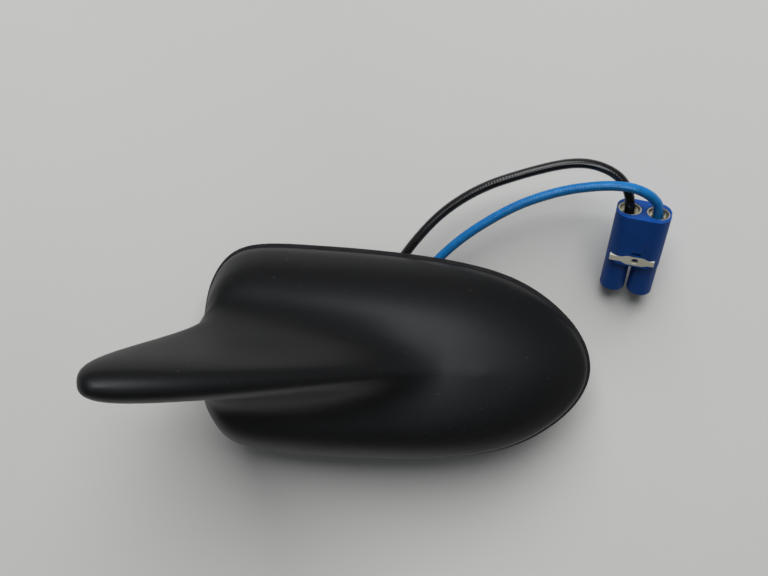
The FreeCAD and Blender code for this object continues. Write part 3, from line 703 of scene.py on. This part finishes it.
# %% [markdown]
# ## The stud
# One threaded stud holds the antenna. Its thread could be cut by a swept section, but a radius that
# depends on both parameters of the grid is shorter and closes by itself: it falls and rises once a
# pitch along the axis, and the fall winds with the angle.

# %% Stud
STUD_RADIUS = 4.0
STUD_END = -17.0
STUD_SHOULDER = -4.0
STUD_CHAMFER = 0.8
THREAD_PITCH = 1.25
THREAD_DEPTH = 0.65
THREAD_ROWS = 125
THREAD_EDGE = math.radians(40)
SHANK_RADIUS = 5.0
HEAD_RADIUS = 7.0
HEAD_UNDER = 4.0
HEAD_TOP = 5.4
HEAD_EDGE = 0.2
GRAINS_A_CLOUD = 8
METAL_DULL = 0.8


def stud_points(around=72):
    """Radius over angle and height: R - depth |2 frac(z / pitch + a / 2 pi) - 1|, cut by the
    chamfer; then the plain shank and the head."""
    angles = np.linspace(0, 2 * np.pi, around, endpoint=False)
    heights = np.linspace(STUD_END, STUD_SHOULDER, THREAD_ROWS)
    phase = heights[:, None] / THREAD_PITCH + angles[None, :] / (2 * np.pi)
    thread = STUD_RADIUS - THREAD_DEPTH * np.abs(2 * (phase % 1.0) - 1)
    chamfer = STUD_RADIUS - STUD_CHAMFER + (heights - STUD_END)
    radius = np.minimum(thread, chamfer[:, None])
    plain = np.array([
        (SHANK_RADIUS, STUD_SHOULDER), (SHANK_RADIUS, HEAD_UNDER),
        (HEAD_RADIUS, HEAD_UNDER), (HEAD_RADIUS, HEAD_TOP - HEAD_EDGE),
        (HEAD_RADIUS - HEAD_EDGE, HEAD_TOP), (0.0, HEAD_TOP),
    ])
    plain_rows = np.repeat(plain[:, :1], around, axis=1)
    radius = np.concatenate([np.zeros((1, around)), radius, plain_rows])
    heights = np.concatenate([[STUD_END], heights, plain[:, 1]])
    x, y = radius * np.cos(angles), radius * np.sin(angles)
    return np.stack([x, y, np.broadcast_to(heights[:, None], x.shape)], axis=-1) * MM


def metal_finish(name, colour, roughness, grain, depth):
    """Plated or cast metal: a cloudy tone, uneven gloss and a fine grain."""
    material, tree, shader = new_finish(name, colour, roughness, metallic=1.0)
    cloud = pattern(tree, grain / GRAINS_A_CLOUD, detail=4.0)
    dull = tuple(value * METAL_DULL for value in colour)
    uneven_tone(tree, shader, cloud, dull, colour)
    uneven_gloss(tree, shader, cloud, roughness, smoother=0.08, rougher=0.1)
    relief(tree, shader, pattern(tree, grain, detail=3.0), depth=depth * MM, strength=0.3)
    return material


zinc = metal_finish("zinc_plate", (0.62, 0.61, 0.55), roughness=0.34, grain=2500.0, depth=0.02)
stud = add_piece(
    "threaded_stud",
    grid_mesh("threaded_stud", stud_points(), ring_columns=True),
    zinc, "stud_steel", "mounting_stud",
)
stud.data.set_sharp_from_angle(angle=THREAD_EDGE)

# %% [markdown]
# ## The plug
# The twin plug is moulded in blue plastic, with two barrels at its mating end and a cream lock bar
# let into one face. Its solid has the right shape but sharp edges, so a merged copy gets a small
# Bevel, which catches the light as the real edges do.

# %% Softened copies
SOLID_WELD = 2e-6
FLAT_WITHIN = math.radians(0.5)
SHARP_FROM = math.radians(30)
ROUNDED_FROM = math.radians(35)
PLUG_EDGE = 0.45
LOCK_EDGE = 0.18
MOULDING_DEEP = 0.86


def softened_copy(name, node, width, material, slot, segments=3):
    """The node's mesh with doubles merged, flat triangles joined and its sharp edges rounded."""
    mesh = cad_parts[node].data.copy()
    mesh.materials.clear()
    shape = bmesh.new()
    shape.from_mesh(mesh)
    bmesh.ops.remove_doubles(shape, verts=shape.verts, dist=SOLID_WELD)
    bmesh.ops.dissolve_limit(
        shape, angle_limit=FLAT_WITHIN, verts=shape.verts, edges=shape.edges
    )
    for face in shape.faces:
        face.smooth = True
    shape.to_mesh(mesh)
    shape.free()
    mesh.set_sharp_from_angle(angle=SHARP_FROM)
    piece = add_piece(name, mesh, material, slot, node)
    bevel = piece.modifiers.new("edges", "BEVEL")
    bevel.width = width * MM
    bevel.segments = segments
    bevel.limit_method = "ANGLE"
    bevel.angle_limit = ROUNDED_FROM
    bevel.harden_normals = True
    return piece


def moulded_finish(name, colour, roughness, grain=1500.0, depth=0.03, specular=0.5):
    """Moulded plastic: a slightly uneven tone and gloss, and the fine grain of its mould."""
    material, tree, shader = new_finish(name, colour, roughness, specular=specular)
    cloud = pattern(tree, 180.0, detail=3.0)
    deep = tuple(value * MOULDING_DEEP for value in colour)
    uneven_tone(tree, shader, cloud, deep, colour)
    uneven_gloss(tree, shader, cloud, roughness, smoother=0.05, rougher=0.07)
    relief(tree, shader, pattern(tree, grain), depth=depth * MM, strength=0.3)
    return material


plug_blue = moulded_finish("plug_blue", (0.0035, 0.055, 0.26), roughness=0.5, specular=0.2)
lock_cream = moulded_finish("lock_cream", (0.62, 0.60, 0.50), roughness=0.45)
plug = softened_copy("plug_body", "plug_housing", PLUG_EDGE, plug_blue, "plug_blue")
lock = softened_copy("lock_bar", "plug_lock", LOCK_EDGE, lock_cream, "lock_cream", segments=2)

# %% [markdown]
# ## Metal, board and small pieces
# The pieces inside and under the cover keep their solids, and get the finish of what they are:
# plated crimps and collars, a cast plate, a green board with its copper showing faintly, a ceramic
# patch, tinned sheet and white insulation.

# %% Finishes of the solids
MASK_OVER_BOARD = (0.012, 0.10, 0.04)
MASK_OVER_COPPER = (0.03, 0.19, 0.08)


def board_finish():
    """Solder mask over copper: slow bands of lighter green where tracks run beneath."""
    material, tree, shader = new_finish("board_green", (0.02, 0.14, 0.06), 0.35)
    tracks = pattern(tree, 300.0, detail=0.0, stretch=(0.25, 1.0, 1.0))
    tone = shades(tree, tracks, (0.48, MASK_OVER_BOARD), (0.52, MASK_OVER_COPPER))
    tree.links.new(tone, shader.inputs["Base Color"])
    relief(tree, shader, tracks, depth=0.03 * MM, strength=0.3)
    return material


# Metals: colour, roughness, grain in patches per metre and its depth in mm.
nickel = metal_finish("nickel_plate", (0.72, 0.69, 0.60), 0.28, 2200.0, 0.015)
tin = metal_finish("tinned_sheet", (0.66, 0.66, 0.64), 0.32, 1800.0, 0.015)
steel = metal_finish("screw_steel", (0.56, 0.56, 0.56), 0.35, 2400.0, 0.015)
gold = metal_finish("gold_plate", (0.80, 0.60, 0.25), 0.25, 2600.0, 0.01)
cast = metal_finish("cast_plate", (0.58, 0.59, 0.61), 0.48, 900.0, 0.06)
# Mouldings: colour and roughness, and the grain where it isn't the usual one.
ceramic = moulded_finish("patch_ceramic", (0.60, 0.53, 0.42), 0.42, grain=1200.0)
white = moulded_finish("white_insulation", (0.78, 0.78, 0.74), 0.45)
holder = moulded_finish("holder_plastic", (0.70, 0.67, 0.58), 0.5)
rubber = moulded_finish(
    "grommet_rubber", (0.014, 0.014, 0.014), 0.62, grain=1400.0, depth=0.04, specular=0.35
)

FINISHES = {
    "base_plate": cast,
    "cable_grommet": rubber,
    "circuit_board": board_finish(),
    "patch_antenna": ceramic,
    "patch_feed_pin": gold,
    "shield_can": tin,
    "phone_element": tin,
    "element_holder": holder,
    "board_screws": steel,
    "cover_screws": steel,
}
for colour in LEAD_ROUTES:
    FINISHES[colour + "_core"] = white
    FINISHES[colour + "_crimp"] = nickel
    FINISHES[colour + "_collar"] = nickel
    FINISHES[colour + "_shell"] = nickel
    FINISHES[colour + "_insulator"] = white
    FINISHES[colour + "_contact"] = gold
for node, material in FINISHES.items():
    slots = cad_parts[node].data.materials
    slots.clear()
    slots.append(material)
print(len(FINISHES), "solids keep their shape and get a finish")

# %% [markdown]

# %% [markdown]
# ## Floor and lamps
# The antenna lies over a plain pale floor, at the level of the stud's end. In the photo the light
# is soft and the far flanks are paler than the near ones. A broad lamp beyond the far side gives
# that. It isn't mirrored, because so large a lamp would turn the whole black cover grey. A strip
# overhead is seen in reflections only, as the sheen along the dome and the fin's crest.

# %% Floor
FLOOR_HALF = 3.0
FLOOR_CORNERS = np.array([[(-1, -1), (1, -1)], [(-1, 1), (1, 1)]])


def floor_finish():
    """Pale card, a little cloudy."""
    material, tree, shader = new_finish("floor_pale", (0.52, 0.53, 0.525), 0.8, specular=0.2)
    uneven_tone(tree, shader, pattern(tree, 6.0), (0.51, 0.52, 0.515), (0.53, 0.54, 0.535))
    return material


floor_level = np.full((2, 2, 1), STUD_END * MM)
floor_grid = np.concatenate([FLOOR_CORNERS * FLOOR_HALF, floor_level], axis=-1)
floor = bpy.data.objects.new("floor", grid_mesh("floor", floor_grid))
bpy.context.scene.collection.objects.link(floor)
floor.data.materials.append(floor_finish())
if floor.data.polygons[0].normal.z < 0:
    floor.data.flip_normals()

# %% Lamps
KEY = {
    "place": (-0.10, 0.03, 1.30),
    "aim": (0.00, 0.03, 0.0),
    "sides": (0.45, 0.9),
    "power": 7.6,
    "colour": (0.92, 0.98, 1.06),
}
FILL = {
    "place": (0.10, 2.00, 1.90),
    "aim": (0.0, 0.0, 0.0),
    "sides": (2.4, 2.4),
    "power": 122.0,
    "colour": (1.0, 0.985, 0.965),
}


def add_lamp(name, place, aim, sides, power, colour):
    """An oblong area lamp that faces its aim."""
    data = bpy.data.lights.new(name, "AREA")
    data.shape = "RECTANGLE"
    data.size, data.size_y = sides
    data.energy = power
    data.color = colour
    lamp = bpy.data.objects.new(name, data)
    lamp.location = place
    lamp.rotation_mode = "QUATERNION"
    lamp.rotation_quaternion = (Vector(aim) - Vector(place)).to_track_quat("-Z", "Y")
    bpy.context.scene.collection.objects.link(lamp)
    return lamp


key = add_lamp("key", **KEY)
key.visible_diffuse = False
fill = add_lamp("fill", **FILL)
fill.visible_glossy = False

# %% [markdown]
# ## The gleam
# The smooth plastic of the leads, the plug and its lock bar shows a narrow highlight that the matt
# cover doesn't. One small lamp, seen in reflections only, gives it. It is linked to those pieces
# alone, so the cover's sheen stays as it is.

# %% Gleam
GLEAM = {
    "place": (-0.49, 0.85, 1.04),
    "aim": (0.04, 0.06, 0.0),
    "sides": (0.5, 0.6),
    "power": 6.4,
    "colour": (1.0, 1.0, 1.0),
}

gleam = add_lamp("gleam", **GLEAM)
gleam.visible_diffuse = False
shiny = bpy.data.collections.new("shiny_pieces")
for piece in (*leads.values(), plug, lock):
    shiny.objects.link(piece)
gleam.light_linking.receiver_collection = shiny

# %% [markdown]
# ## The dark card
# The near flank of the cover stays black in the photo, as if it faced something dark. A dark card
# leans over the near side for the reflections there. It casts no shadow, and the camera doesn't see
# it.

# %% Dark card
CARD_NEAR = (-0.80, 0.08)
CARD_FAR = (-0.35, 1.00)
CARD_HALF = 1.2

card_grid = np.array([
    [(side * CARD_HALF, *edge) for side in (-1, 1)] for edge in (CARD_NEAR, CARD_FAR)
])
card = bpy.data.objects.new("card", grid_mesh("card", card_grid))
bpy.context.scene.collection.objects.link(card)
card_dark = new_finish("card_dark", (0.02, 0.02, 0.02), 0.9, specular=0.1)[0]
card.data.materials.append(card_dark)
card.visible_camera = False
card.visible_shadow = False
card.visible_diffuse = False

# %% [markdown]
# ## The room
# A dim, even, nearly neutral world fills the shadows, as the walls of a room do.

# %% World
AMBIENT = (0.105, 0.106, 0.108, 1.0)

world = bpy.data.worlds.new("studio")
world.use_nodes = True
world.node_tree.nodes["Background"].inputs["Color"].default_value = AMBIENT
bpy.context.scene.world = world
